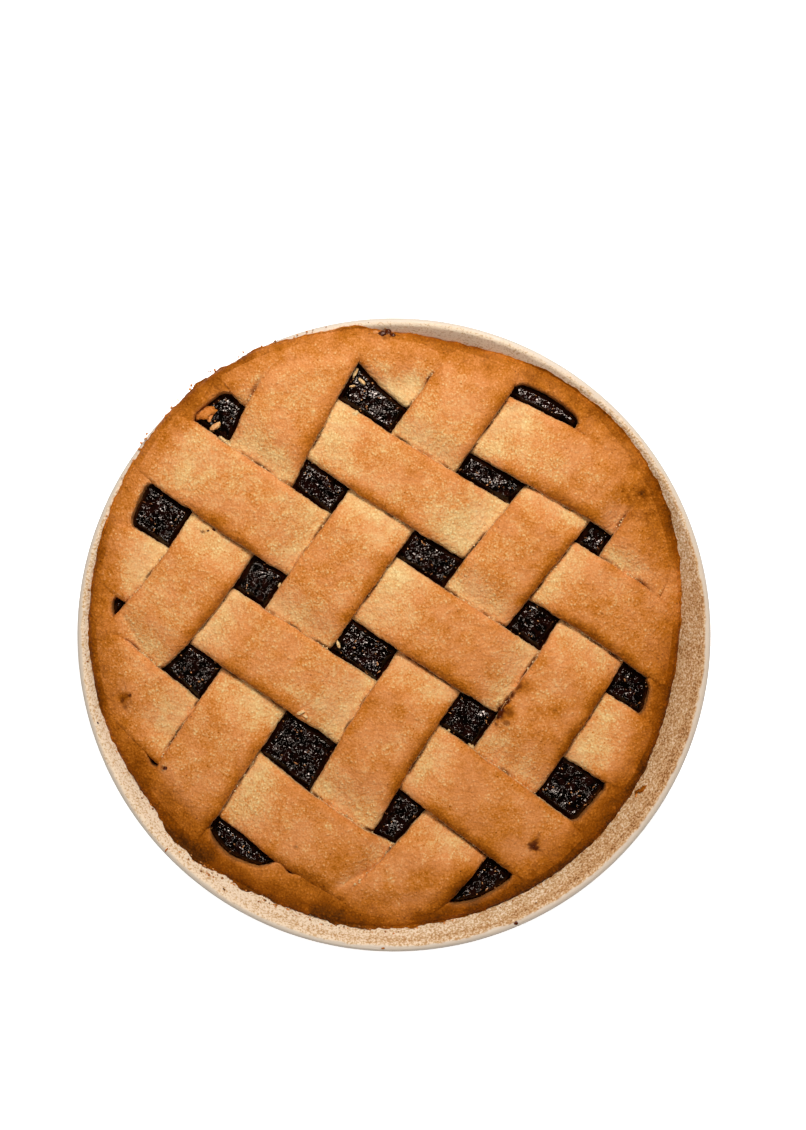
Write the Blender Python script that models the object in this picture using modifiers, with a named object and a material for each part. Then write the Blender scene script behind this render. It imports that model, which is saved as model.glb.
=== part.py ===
"""Lattice jam tart (crostata) baked in its round ceramic dish.

Metres, +Z up, origin at the centre of the dish's base, on the table.

The dish is a turned profile. The pastry case and its jam are turned too, and are then pushed
to fit: the tart sits unevenly, high on one side where its edge laps over the dish's lip, and
low on the other. Nine flat strips of pastry are woven over the jam, each at its true height
over or under its neighbours, and end against the case's border.
"""
import math

import bmesh
import bpy
import numpy as np

MM = 0.001
GAP = 0.3 * MM                  # clearance between neighbouring pieces
SAME_PLACE = 0.01 * MM

# dish: a flared wall on a flat base, with a rounded lip
RIM_RADIUS = 120.0 * MM
DISH_HEIGHT = 35.0 * MM
FLOOR_THICKNESS = 5.0 * MM
FLOOR_RADIUS = 94.0 * MM        # where the inner wall starts
WALL_FLARE = 0.793              # outward run of the inner wall for each unit of rise
LIP_WIDTH = 3.4 * MM
FOOT_RADIUS = 91.0 * MM
FOOT_RECESS = 1.0 * MM
FOOT_WIDTH = 7.0 * MM

# tart: the radius of its edge, as a mean and a swell of 1 to 5 waves (size, degrees of its peak)
EDGE_RADIUS = 113.66 * MM
EDGE_WAVES = ((4.2, 130.0), (0.7, 241.0), (1.0, 86.0), (1.05, 133.0), (0.6, 213.0))
BORDER_WIDTH = 8.6 * MM
BORDER_CROWN = 2.0 * MM         # height of the border over the middle plane of the lattice
BASE_THICKNESS = 6.0 * MM
WALL_CLEARANCE = 0.6 * MM       # upright, between the case and the dish's sloping wall
CASE_CORNER_RADIUS = 92.0 * MM  # inside corner of the case, at the jam's floor
FULL_LIFT_DEPTH = 6.0 * MM      # everything this close to the top takes its whole unevenness
JAM_DEPTH = 5.0 * MM            # jam surface below the lattice's middle plane

# lattice
STRIP_THICKNESS = 4.0 * MM
WEAVE_CLEARANCE = 0.5 * MM      # between an upper and a lower strip
SHOULDER_WIDTH = 4.0 * MM       # a strip's rounded long edge
SHOULDER_DROP = 1.5 * MM
UNDER_ROUNDING = 0.4            # the share of that drop by which the underside rises
END_CLEARANCE = 0.5 * MM        # between a strip's end and the border
HIDDEN_END = {"a3": "b5", "b5": "a4"}   # strips whose far end stops halfway under another
END_LEVEL = 0.3                 # where a strip meets the border: -1 is low, 1 is high
LEAST_END_ROOM = 6.0 * MM       # a strip's end this near a crossing keeps its level
LEAST_EASE = 6.0 * MM           # least length in which a strip rises or falls
EASE_MARGIN = 1.2 * MM          # a strip stays level this far past the edge of one it crosses
STRIP_COLUMNS = 6
CROSSING_CELLS = 2              # cells along a strip: over or under another, between, at an end
GAP_CELLS = 3
END_CELLS = 2
LEAST_CELL = 0.5 * MM

# strips, in mm: offset from the tart's centre, then lean, bow and sway over 100 mm of length,
# then width and its flare over 100 mm. Strips a run down to the left, strips b to the right.
STRIPS_A = (
    (-75.8, 8.8, -14.0, -12.2, 28.3, -2.0),
    (-31.4, -1.1, 1.0, 1.3, 29.0, 0.8),
    (19.0, 0.2, 7.0, 1.0, 28.4, 0.6),
    (64.8, 1.4, -7.4, -3.8, 29.5, 1.1),
)
STRIPS_B = (
    (88.0, 8.0, 6.2, -19.7, 26.6, 3.2),
    (51.5, 4.6, 1.9, -6.1, 26.6, 2.1),
    (10.5, -0.2, 1.0, -0.5, 28.8, 0.3),
    (-32.9, -3.1, -2.4, 0.2, 27.9, 2.1),
    (-82.0, -7.9, 14.7, 10.3, 28.8, 0.8),
)
HEADING_A = math.radians(-125.0)
HEADING_B = math.radians(-33.0)
SPAN = 100.0 * MM               # the length over which lean, bow, sway and flare are given

ROUND_STEPS = 64
LIP_STEPS = 6
HALVINGS = 30                   # steps in which a strip's end closes in on the border
CORRECTIONS = 12                # steps in which a crossing's edge is found

COLOURS = {
    "glaze": ((0.80, 0.70, 0.57), 0.35),
    "crust": ((0.60, 0.31, 0.11), 0.65),
    "jam": ((0.020, 0.008, 0.006), 0.12),
}


def smoothstep(t):
    """Ease from 0 to 1: 3t^2 - 2t^3, held flat outside the range."""
    t = np.clip(t, 0.0, 1.0)
    return t * t * (3.0 - 2.0 * t)


def edge_radius(angle):
    """Radius of the tart's outer edge at an angle: a mean radius and a few slow waves."""
    waves = sum(size * MM * np.cos(k * angle - math.radians(peak))
                for k, (size, peak) in enumerate(EDGE_WAVES, start=1))
    return EDGE_RADIUS + waves


def seat_height(radius):
    """Height of the dish's inner surface: the floor, the flared wall, then the round lip."""
    rise = FLOOR_THICKNESS + np.maximum(radius - FLOOR_RADIUS, 0.0) / WALL_FLARE
    lip = LIP_WIDTH / 2.0
    across = np.clip(RIM_RADIUS - lip - radius, 0.0, lip)
    over_lip = DISH_HEIGHT - lip + np.sqrt(lip ** 2 - across ** 2)
    return np.where(radius > RIM_RADIUS - LIP_WIDTH, over_lip, rise)


ANGLES = np.linspace(0.0, 2.0 * math.pi, 128, endpoint=False)
EDGE_HEIGHTS = seat_height(edge_radius(ANGLES))
TOP_TERMS = [np.mean(EDGE_HEIGHTS * np.exp(-1j * k * ANGLES)) * (2.0 if k else 1.0)
             for k in range(len(EDGE_WAVES) + 1)]
MEAN_TOP = float(TOP_TERMS[0].real)


def top_height(x, y):
    """Height of the lattice's middle plane: the smooth film stretched over the tart's edge."""
    angle = np.arctan2(y, x)
    reach = np.hypot(x, y) / edge_radius(angle)
    return sum((term * reach ** k * np.exp(1j * k * angle)).real
               for k, term in enumerate(TOP_TERMS))


class Strip:
    """One strip of the lattice: a gently bent band with a width that flares along it."""

    def __init__(self, family, number, values, heading):
        self.name = f"{family}{number}"
        self.family = family
        self.number = number
        self.offset, self.lean, self.bow, self.sway, self.width, self.flare = values
        self.along = np.array((math.cos(heading), math.sin(heading)))
        self.across = np.array((-self.along[1], self.along[0]))

    def centre_offset(self, s):
        """Sideways place of the centre line at a distance s along: a cubic."""
        u = s / SPAN
        return (self.offset + self.lean * u + self.bow * u ** 2 + self.sway * u ** 3) * MM

    def half_width(self, s):
        return (self.width + self.flare * s / SPAN) * MM / 2.0

    def place(self, s, q):
        """Plan position at s along and q across, q running from -1 to 1."""
        side = self.centre_offset(s) + q * self.half_width(s)
        return (s * self.along[0] + side * self.across[0],
                s * self.along[1] + side * self.across[1])

    def signed_gap(self, x, y):
        """Distance of a point from the strip's two long edges (left, right), positive outside."""
        s = x * self.along[0] + y * self.along[1]
        side = x * self.across[0] + y * self.across[1] - self.centre_offset(s)
        return side - self.half_width(s), -side - self.half_width(s)

    def past_hidden_end(self, x, y):
        """Distance of a point past the middle of the strip that hides this one's far end."""
        if self.name not in HIDDEN_END:
            return -SPAN
        before, past = way_across(self, BY_NAME[HIDDEN_END[self.name]], x, y)
        return (past - before) / 2.0

    def end(self, q, direction):
        """Distance s at which the line q meets the border or its hidden end, found by halving."""
        low, high = 0.0, RIM_RADIUS * direction
        for _ in range(HALVINGS):
            middle = (low + high) / 2.0
            x, y = self.place(middle, q)
            if border_gap(x, y) > END_CLEARANCE and self.past_hidden_end(x, y) < 0.0:
                low = middle
            else:
                high = middle
        return low


def border_gap(x, y):
    """Distance from a point inside the tart to the border's inner edge."""
    return edge_radius(np.arctan2(y, x)) - BORDER_WIDTH - np.hypot(x, y)


LATTICE_A = [Strip("a", i, v, HEADING_A) for i, v in enumerate(STRIPS_A, start=1)]
LATTICE_B = [Strip("b", i, v, HEADING_B) for i, v in enumerate(STRIPS_B, start=1)]
BY_NAME = {strip.name: strip for strip in LATTICE_A + LATTICE_B}


def lies_over(strip, other):
    """Over-and-under weave: strips a lie over where the two numbers add up to an odd number.

    Strip a1 also lies over the end of b1, where the two meet at the border.
    """
    first, second = (strip, other) if strip.family == "a" else (other, strip)
    a_over = (first.number + second.number) % 2 == 1 or first.number == second.number == 1
    return a_over == (strip.family == "a")


def eased_step(past, before):
    """0 next to one strip, 1 next to the other, for the distances of a point from both.

    It stays at 0 or 1 for a small margin, so that an upper strip clears the lower one's edge,
    and starts early where the two strips nearly touch.
    """
    gap = np.maximum(past + before, LEAST_EASE)
    margin = np.minimum(EASE_MARGIN, gap / 5.0)
    return smoothstep((gap - before - margin) / (gap - 2.0 * margin))


def way_across(strip, other, x, y):
    """Distances of a point before and past another strip, on the way along this one."""
    left, right = other.signed_gap(x, y)
    return (left, right) if strip.family == "a" else (right, left)


def crossed_by(strip):
    """The strips of the other family, in the order in which this one meets them."""
    return LATTICE_B if strip.family == "a" else LATTICE_A


def weave_level(strip, x, y):
    """Level of a strip at a point: 1 over a crossing strip, -1 under it, eased in between.

    Beyond its outermost crossings the strip eases to the level at which it meets the border.
    """
    crossed = crossed_by(strip)
    levels = [1.0 if lies_over(strip, other) else -1.0 for other in crossed]
    ways = [way_across(strip, other, x, y) for other in crossed]
    wall = np.maximum(border_gap(x, y), 0.0)

    first = ways[0][0]
    result = levels[0] + eased_step(first, wall) * end_rise(levels[0], first + wall)
    for i, level in enumerate(levels):
        before, past = ways[i]
        if i + 1 < len(levels):
            eased = level + eased_step(past, ways[i + 1][0]) * (levels[i + 1] - level)
        else:
            eased = level + eased_step(past, wall) * end_rise(level, past + wall)
        result = np.where(before <= 0.0, level, result)
        result = np.where(past > -LEAST_EASE, eased, result)
    return result


def end_rise(level, room):
    """Change of level from a last crossing to the border, none where there is no room for it."""
    return (END_LEVEL - level) * smoothstep((room - LEAST_END_ROOM) / LEAST_END_ROOM)


def crossing_ends(strip, other, q):
    """Distances along line q of a strip at which it meets and leaves another strip."""
    ends = []
    for side in (0, 1):
        s = 0.0
        for _ in range(CORRECTIONS):
            step = way_across(strip, other, *strip.place(s, q))[side]
            s += step if side == 0 else -step
        ends.append(s)
    return ends


def stations(strip, q):
    """Distances along line q at which the strip's cross-sections stand, end to end.

    They close up where the strip rises or falls, and stand at the edges of its crossings.
    """
    middle = (strip.end(0.0, -1.0), strip.end(0.0, 1.0))
    marks, cells = [strip.end(q, -1.0)], [END_CELLS]
    for other in crossed_by(strip):
        enter, leave = crossing_ends(strip, other, 0.0)
        if leave > middle[0] + EASE_MARGIN and enter < middle[1] - EASE_MARGIN:
            enter, leave = crossing_ends(strip, other, q)
            marks += [enter - EASE_MARGIN, leave + EASE_MARGIN]
            cells += [CROSSING_CELLS, GAP_CELLS]
    marks.append(strip.end(q, 1.0))
    cells[-1] = END_CELLS
    for i in range(1, len(marks) - 1):
        marks[i] = max(marks[i], marks[i - 1] + LEAST_CELL)
    for i in range(len(marks) - 2, 0, -1):
        marks[i] = min(marks[i], marks[i + 1] - LEAST_CELL)
    pieces = [np.linspace(low, high, count, endpoint=False)
              for low, high, count in zip(marks, marks[1:], cells)]
    return np.append(np.concatenate(pieces), marks[-1])


def material(name):
    colour, roughness = COLOURS[name]
    made = bpy.data.materials.new(name)
    made.use_nodes = True
    shader = made.node_tree.nodes["Principled BSDF"]
    shader.inputs["Base Color"].default_value = (*colour, 1.0)
    shader.inputs["Roughness"].default_value = roughness
    shader.inputs["Metallic"].default_value = 0.0
    return made


def add_object(name, mesh, collection, finish):
    mesh.shade_smooth()
    mesh.set_sharp_from_angle(angle=math.radians(40.0))
    mesh.materials.append(finish)
    made = bpy.data.objects.new(name, mesh)
    collection.objects.link(made)
    return made


def turned(name, profile, collection, finish, push=None):
    """Turn a profile of (radius, height) about Z; push moves each point of the result."""
    mesh = bpy.data.meshes.new(name)
    points = [(radius, 0.0, height) for radius, height in profile]
    mesh.from_pydata(points, [(i, i + 1) for i in range(len(points) - 1)], [])
    made = add_object(name, mesh, collection, finish)
    screw = made.modifiers.new("Turn", "SCREW")
    screw.axis = "Z"
    screw.steps = ROUND_STEPS
    screw.render_steps = ROUND_STEPS
    screw.use_merge_vertices = True
    screw.merge_threshold = 0.00005
    screw.use_normal_calculate = True
    if push is None:
        return made
    bpy.context.view_layer.update()
    evaluated = made.evaluated_get(bpy.context.evaluated_depsgraph_get())
    solid = bpy.data.meshes.new_from_object(evaluated)
    made.modifiers.remove(screw)
    made.data = solid
    bpy.data.meshes.remove(mesh)
    solid.name = name
    places = np.empty(len(solid.vertices) * 3)
    solid.vertices.foreach_get("co", places)
    solid.vertices.foreach_set("co", push(places.reshape(-1, 3)).ravel())
    solid.update()
    return made


def dish_profile():
    """Floor, inner wall, half-round lip, outer wall, foot ring and its recess."""
    lip = LIP_WIDTH / 2.0
    lip_centre = (RIM_RADIUS - lip, DISH_HEIGHT - lip)
    profile = [(0.0, FLOOR_THICKNESS), (FLOOR_RADIUS, FLOOR_THICKNESS)]
    for step in range(LIP_STEPS + 1):
        turn = math.pi * (1.0 - step / LIP_STEPS)
        profile.append((lip_centre[0] + lip * math.cos(turn), lip_centre[1] + lip * math.sin(turn)))
    profile += [
        (RIM_RADIUS - 0.6 * MM, DISH_HEIGHT - 3.6 * MM),
        (FOOT_RADIUS + 6.5 * MM, 3.6 * MM),
        (FOOT_RADIUS + 3.0 * MM, 1.0 * MM),
        (FOOT_RADIUS, 0.0),
        (FOOT_RADIUS - FOOT_WIDTH, 0.0),
        (FOOT_RADIUS - FOOT_WIDTH - FOOT_RECESS, FOOT_RECESS),
        (0.0, FOOT_RECESS),
    ]
    return profile


def lift_share(height):
    """How much of the tart's unevenness a height takes: none at the floor, all near the top."""
    span = MEAN_TOP - FULL_LIFT_DEPTH - FLOOR_THICKNESS
    return np.clip((height - FLOOR_THICKNESS) / span, 0.0, 1.0)


def push_to_fit(places):
    """Slide the even, turned shape out or in at each angle and lift it by the same unevenness."""
    radius = np.hypot(places[:, 0], places[:, 1])
    angle = np.arctan2(places[:, 1], places[:, 0])
    share = lift_share(places[:, 2])
    inner = smoothstep(radius / FLOOR_RADIUS)
    radius = radius + (edge_radius(angle) - EDGE_RADIUS) * share * inner
    x, y = radius * np.cos(angle), radius * np.sin(angle)
    height = places[:, 2] + share * (top_height(x, y) - MEAN_TOP)
    return np.column_stack((x, y, height))


def case_profile():
    """Jam floor, inner wall, rounded border, outer wall against the dish, and underside."""
    inner_edge = EDGE_RADIUS - BORDER_WIDTH
    jam_floor = FLOOR_THICKNESS + BASE_THICKNESS
    top = MEAN_TOP
    profile = [
        (0.0, jam_floor),
        (CASE_CORNER_RADIUS, jam_floor),
        (inner_edge, top - FULL_LIFT_DEPTH),
        (inner_edge + 0.3 * MM, top + 0.2 * MM),
        (inner_edge + 1.6 * MM, top + BORDER_CROWN - 0.5 * MM),
        (inner_edge + 4.0 * MM, top + BORDER_CROWN),
        (EDGE_RADIUS - 2.0 * MM, top + BORDER_CROWN - 0.6 * MM),
        (EDGE_RADIUS - 0.4 * MM, top + 0.9 * MM),
    ]
    for reach in (1.0, 0.95, 0.9, 0.8, 0.4, 0.0):
        radius = FLOOR_RADIUS + (EDGE_RADIUS - FLOOR_RADIUS) * reach
        profile.append((radius, FLOOR_THICKNESS + (top - FLOOR_THICKNESS) * reach))
    profile.append((0.0, FLOOR_THICKNESS))
    return profile


def push_case(places):
    """Fit the case; its outer wall and underside then follow the dish, a gap away."""
    radius = np.hypot(places[:, 0], places[:, 1])
    angle = np.arctan2(places[:, 1], places[:, 0])
    reach = np.clip((radius - FLOOR_RADIUS) / (EDGE_RADIUS - FLOOR_RADIUS), 0.0, 1.0)
    wall = FLOOR_THICKNESS + (MEAN_TOP - FLOOR_THICKNESS) * reach
    on_dish = np.abs(places[:, 2] - wall) < SAME_PLACE

    slid = FLOOR_RADIUS + (edge_radius(angle) - FLOOR_RADIUS) * reach
    slid = np.where(reach > 0.0, slid, radius)
    seated = seat_height(slid) + np.where(reach > 0.0, WALL_CLEARANCE, GAP)
    against_dish = np.column_stack((slid * np.cos(angle), slid * np.sin(angle), seated))
    return np.where(on_dish[:, None], against_dish, push_to_fit(places))


def jam_profile():
    """A thick disc of jam that fills the case up to just below the lattice."""
    inner_edge = EDGE_RADIUS - BORDER_WIDTH - 0.5 * MM
    floor = FLOOR_THICKNESS + BASE_THICKNESS + 1.5 * GAP
    surface = MEAN_TOP - JAM_DEPTH
    return [
        (0.0, surface),
        (0.5 * inner_edge, surface),
        (inner_edge, surface),
        (inner_edge, MEAN_TOP - FULL_LIFT_DEPTH),
        (CASE_CORNER_RADIUS - 0.5 * MM, floor),
        (0.0, floor),
    ]


def strip_solid(strip, collection, finish):
    """A grid bent to the strip's plan, thickened downwards, with rounded long edges."""
    across = np.sin(np.linspace(-0.5, 0.5, STRIP_COLUMNS + 1) * math.pi)
    rows = [stations(strip, q) for q in across]
    cells = len(rows[0]) - 1
    shape = bmesh.new()
    bmesh.ops.create_grid(shape, x_segments=cells, y_segments=STRIP_COLUMNS, size=1.0)
    grown = bmesh.ops.extrude_face_region(shape, geom=shape.faces[:])
    lower = {item for item in grown["geom"] if isinstance(item, bmesh.types.BMVert)}
    for point in shape.verts:
        column = round((point.co.y + 1.0) / 2.0 * STRIP_COLUMNS)
        q = across[column]
        s = rows[column][round((point.co.x + 1.0) / 2.0 * cells)]
        x, y = strip.place(s, q)
        level = float(weave_level(strip, x, y))
        middle = float(top_height(x, y)) + level * (STRIP_THICKNESS + WEAVE_CLEARANCE) / 2.0
        inset = SHOULDER_WIDTH / strip.half_width(s)
        drop = SHOULDER_DROP * max(0.0, (abs(q) - 1.0 + inset) / inset) ** 2
        if point in lower:
            point.co = (x, y, middle - STRIP_THICKNESS / 2.0 + drop * UNDER_ROUNDING)
        else:
            point.co = (x, y, middle + STRIP_THICKNESS / 2.0 - drop)
    bmesh.ops.recalc_face_normals(shape, faces=shape.faces[:])
    name = f"strip_{strip.name}"
    mesh = bpy.data.meshes.new(name)
    shape.to_mesh(mesh)
    shape.free()
    return add_object(name, mesh, collection, finish)


def main():
    for item in list(bpy.data.objects):
        bpy.data.objects.remove(item)
    collection = bpy.data.collections.new("Crostata")
    bpy.context.scene.collection.children.link(collection)

    turned("dish", dish_profile(), collection, material("glaze"))
    crust = material("crust")
    turned("pastry_case", case_profile(), collection, crust, push_case)
    turned("jam_filling", jam_profile(), collection, material("jam"), push_to_fit)
    for strip in LATTICE_A + LATTICE_B:
        strip_solid(strip, collection, crust)


main()
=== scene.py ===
"""Lattice jam tart in its glazed dish: finished surfaces, small things and the studio stage."""
import math

import bmesh
import bpy
import numpy as np
from bpy.props import FloatProperty, FloatVectorProperty, IntProperty, PointerProperty
from bpy.types import Operator, Panel, PropertyGroup
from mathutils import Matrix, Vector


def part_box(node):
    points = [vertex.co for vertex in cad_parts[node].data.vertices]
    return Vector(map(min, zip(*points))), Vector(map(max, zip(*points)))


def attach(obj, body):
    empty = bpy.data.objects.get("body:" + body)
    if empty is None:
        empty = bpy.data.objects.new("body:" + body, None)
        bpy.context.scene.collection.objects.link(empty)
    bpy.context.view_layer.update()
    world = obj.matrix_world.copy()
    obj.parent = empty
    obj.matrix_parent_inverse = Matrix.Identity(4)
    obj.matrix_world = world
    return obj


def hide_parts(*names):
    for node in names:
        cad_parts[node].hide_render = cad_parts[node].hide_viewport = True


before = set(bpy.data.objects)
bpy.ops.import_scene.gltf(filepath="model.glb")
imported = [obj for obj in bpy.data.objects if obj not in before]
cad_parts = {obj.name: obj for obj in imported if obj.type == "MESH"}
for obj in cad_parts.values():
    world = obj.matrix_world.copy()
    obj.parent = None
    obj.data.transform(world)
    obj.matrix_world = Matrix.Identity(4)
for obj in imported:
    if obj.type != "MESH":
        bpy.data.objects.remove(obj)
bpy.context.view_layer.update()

bl_info = {
    "name": "Lattice jam tart",
    "version": (1, 0, 0),
    "blender": (4, 5, 0),
    "location": "3D View > Sidebar > Tart",
    "description": "Builds a lattice jam tart in its baking dish",
    "category": "Add Mesh",
}

MM = 0.001

# the dish and the tart's edge, as in the solids
RIM_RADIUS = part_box("dish")[1].x
DISH_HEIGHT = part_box("dish")[1].z
FLOOR_THICKNESS = 5.0 * MM
FLOOR_RADIUS = 94.0 * MM
WALL_FLARE = 0.793
LIP_WIDTH = 3.4 * MM
FOOT_RADIUS = 91.0 * MM
FOOT_RECESS = 1.0 * MM
FOOT_WIDTH = 7.0 * MM
EDGE_RADIUS = 113.66 * MM
EDGE_WAVES = ((4.2, 130.0), (0.7, 241.0), (1.0, 86.0), (1.05, 133.0), (0.6, 213.0))
BORDER_WIDTH = 8.6 * MM
BORDER_CROWN = 2.45 * MM
BORDER_FALL_WIDTH = 1.1 * MM
THIN_CRUST = 0.7 * MM
BASE_THICKNESS = 6.0 * MM
CASE_CORNER_RADIUS = 92.0 * MM
JAM_DEPTH = 5.0 * MM
JAM_SWELL = 3.6 * MM
JAM_SWELL_WIDTH = 2.6 * MM
# where the border is wider or narrower: angle and half-spread in degrees, and by how much in mm
BORDER_SWELLS = ((57, 17, -2.3), (130, 16, -0.8), (210, 12, 0.3), (233, 8, -2.2), (243, 4, 4.4),
                 (250, 9, 4.2), (261, 9, 1.6), (287, 15, -4.0), (318, 13, 1.6))
# where the crust reaches further over the dish: angle and half-spread in degrees, how far in mm
EDGE_SWELLS = ((36, 46, 1.2), (62, 12, 0.8), (97, 7, 1.4), (227, 15, 2.6), (258, 26, 1.4))
CORNER_RADIUS = 1.7 * MM

# the lattice, as in the solids: its levels, and the distances over which a strip changes level
WEAVE_RISE = 2.0 * MM
HIDDEN_END = {"a3": "b5", "b5": "a4"}
END_LEVEL = 0.3
LEAST_END_ROOM = 6.0 * MM
LEAST_EASE = 6.0 * MM
EASE_OVERLAP = 2.6 * MM
LIFT_START = 14.0 * MM
LIFT_LENGTH = 11.0 * MM
# each strip's offset, lean, bow and sway, width and flare, in mm and over 100 mm
STRIPS_A = (
    (-75.8, 8.8, -14.0, -12.2, 28.3, -2.0),
    (-31.4, -1.1, 1.0, 1.3, 29.0, 0.8),
    (19.0, 0.2, 7.0, 1.0, 28.4, 0.6),
    (64.8, 1.4, -7.4, -3.8, 29.5, 1.1),
)
STRIPS_B = (
    (88.0, 8.0, 6.2, -19.7, 26.6, 3.2),
    (51.5, 4.6, 1.9, -6.1, 26.6, 2.1),
    (10.5, -0.2, 1.0, -0.5, 28.8, 0.3),
    (-32.9, -3.1, -2.4, 0.2, 27.9, 2.1),
    (-82.0, -7.9, 14.7, 10.3, 28.8, 0.8),
)
HEADING_A = math.radians(-125.0)
HEADING_B = math.radians(-33.0)
SPAN = 100.0 * MM

# a strip's top: round shoulders, a slight crown, cracks, and its end that merges with the border
SHOULDER_WIDTH = 3.0 * MM
SHOULDER_DROP = 1.85 * MM
STRIP_CROWN = 0.65 * MM
CRACK_DEPTH = 1.1 * MM
MERGE_START = 6.0 * MM
MERGE_LENGTH = 7.0 * MM
END_HEIGHT = 0.75 * MM
END_DROP = 0.95 * MM
END_LENGTH = 7.5 * MM

# points of a strip's section: across its top, down each side and across its underside
TOP_POINTS = 62
SIDE_POINTS = 6
UNDER_POINTS = 12


# ---------------------------------------------------------------- plain mathematics

def smoothstep(t):
    """Ease from 0 to 1: 3t^2 - 2t^3, held flat outside the range."""
    t = np.clip(t, 0.0, 1.0)
    return t * t * (3.0 - 2.0 * t)


def hashed(cell, seed):
    """A fixed number from -1 to 1 for each whole-number point of a grid."""
    mixed = (cell[..., 0] * 374761393 + cell[..., 1] * 668265263
             + cell[..., 2] * 1442695041 + seed * 1274126177) & 0xFFFFFFFF
    mixed = ((mixed ^ (mixed >> 13)) * 1274126177) & 0xFFFFFFFF
    return ((mixed ^ (mixed >> 16)) & 0xFFFFFFFF) / 2147483648.0 - 1.0


TURN = np.array(((0.80, 0.60, 0.0), (-0.48, 0.64, 0.60), (0.36, -0.48, 0.80)))


def noise(points, size, seed=0):
    """Smooth noise from -1 to 1: fixed numbers on a turned grid of this size, eased between."""
    p = points @ TURN.T / size
    cell = np.floor(p).astype(np.int64)
    f = p - cell
    f = f * f * (3.0 - 2.0 * f)
    total = 0.0
    for corner in np.ndindex(2, 2, 2):
        share = np.prod(np.where(np.array(corner) == 1, f, 1.0 - f), axis=-1)
        total = total + share * hashed(cell + np.array(corner), seed)
    return total


def mixed_noise(points, *parts):
    """Sum of noises, each with its share, its size in mm and the number of its pattern."""
    return sum(share * noise(points, size * MM, seed) for share, size, seed in parts)


def flat_points(x, y, layer=0.0):
    """Points for noise on a surface seen from above; layer keeps two surfaces apart."""
    x, y = np.broadcast_arrays(x, y)
    return np.stack((x, y, np.full_like(x, layer)), axis=-1)


def circle_angles(count):
    """Evenly spaced angles round a circle, one row for each."""
    return np.linspace(0.0, 2.0 * math.pi, count, endpoint=False)[:, None]


def plan(radius, angle):
    """x and y of a point at a radius and an angle."""
    return radius * np.cos(angle), radius * np.sin(angle)


def facing(angle, heading):
    """Cosine of the turn away from a heading in degrees, and 0 on the far side."""
    return np.clip(np.cos(angle - math.radians(heading)), 0.0, 1.0)


# ---------------------------------------------------------------- the tart's forms

def edge_radius(angle):
    """Radius of the tart's outer edge at an angle: a mean radius and a few slow waves."""
    waves = sum(size * MM * np.cos(k * angle - math.radians(peak))
                for k, (size, peak) in enumerate(EDGE_WAVES, start=1))
    return EDGE_RADIUS + waves


def seat_height(radius):
    """Height of the dish's inner surface: the floor, the flared wall, then the round lip."""
    rise = FLOOR_THICKNESS + np.maximum(radius - FLOOR_RADIUS, 0.0) / WALL_FLARE
    lip = LIP_WIDTH / 2.0
    across = np.clip(RIM_RADIUS - lip - radius, 0.0, lip)
    over_lip = DISH_HEIGHT - lip + np.sqrt(lip ** 2 - across ** 2)
    return np.where(radius > RIM_RADIUS - LIP_WIDTH, over_lip, rise)


ANGLES = circle_angles(128)[:, 0]
EDGE_HEIGHTS = seat_height(edge_radius(ANGLES))
TOP_TERMS = [np.mean(EDGE_HEIGHTS * np.exp(-1j * k * ANGLES)) * (2.0 if k else 1.0)
             for k in range(len(EDGE_WAVES) + 1)]


def top_height(x, y):
    """Height of the lattice's middle plane: the smooth film stretched over the tart's edge."""
    angle = np.arctan2(y, x)
    reach = np.hypot(x, y) / edge_radius(angle)
    return sum((term * reach ** k * np.exp(1j * k * angle)).real
               for k, term in enumerate(TOP_TERMS))


def swells(angle, table):
    """Sum of raised-cosine swells round the tart, each an angle, a half-spread and a height."""
    total = np.zeros_like(angle)
    for at, spread, height in table:
        away = np.abs((np.degrees(angle) - at + 180.0) % 360.0 - 180.0) / spread
        total = total + height * 0.5 * (1.0 + np.cos(math.pi * np.minimum(away, 1.0)))
    return total


def crust_edge(angle):
    """Radius at which the crust ends: the tart's edge, and places where it reaches further."""
    return edge_radius(angle) + swells(angle, EDGE_SWELLS) * MM


def border_width(angle):
    """Width of the border at an angle: a mean width and a few swells."""
    return BORDER_WIDTH + swells(angle, BORDER_SWELLS) * MM


def border_gap(x, y):
    """Distance from a point inside the tart to the border's inner edge, negative past it."""
    angle = np.arctan2(y, x)
    return edge_radius(angle) - border_width(angle) - np.hypot(x, y)


def relief(x, y, layer=0.0):
    """Gentle swells of baked dough: three sizes of noise added up, 11, 4.5 and 2 mm across."""
    parts = (0.26, 11, 1), (0.15, 4.5, 2), (0.07, 2.0, 3)
    return mixed_noise(flat_points(x, y, layer), *parts) * MM


def border_surface(x, y):
    """Top of the border: a flat crown that falls off towards the outer edge as exp(-distance).

    Where the crust reaches far up the dish's wall it lies on it as a thin sheet.
    """
    radius = np.hypot(x, y)
    distance = np.maximum(crust_edge(np.arctan2(y, x)) - radius, 0.0)
    fall = (BORDER_CROWN + 0.2 * MM) * np.exp(-distance / BORDER_FALL_WIDTH)
    crown = top_height(x, y) + BORDER_CROWN - fall + relief(x, y)
    return np.maximum(crown, seat_height(radius) + THIN_CRUST)


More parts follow.
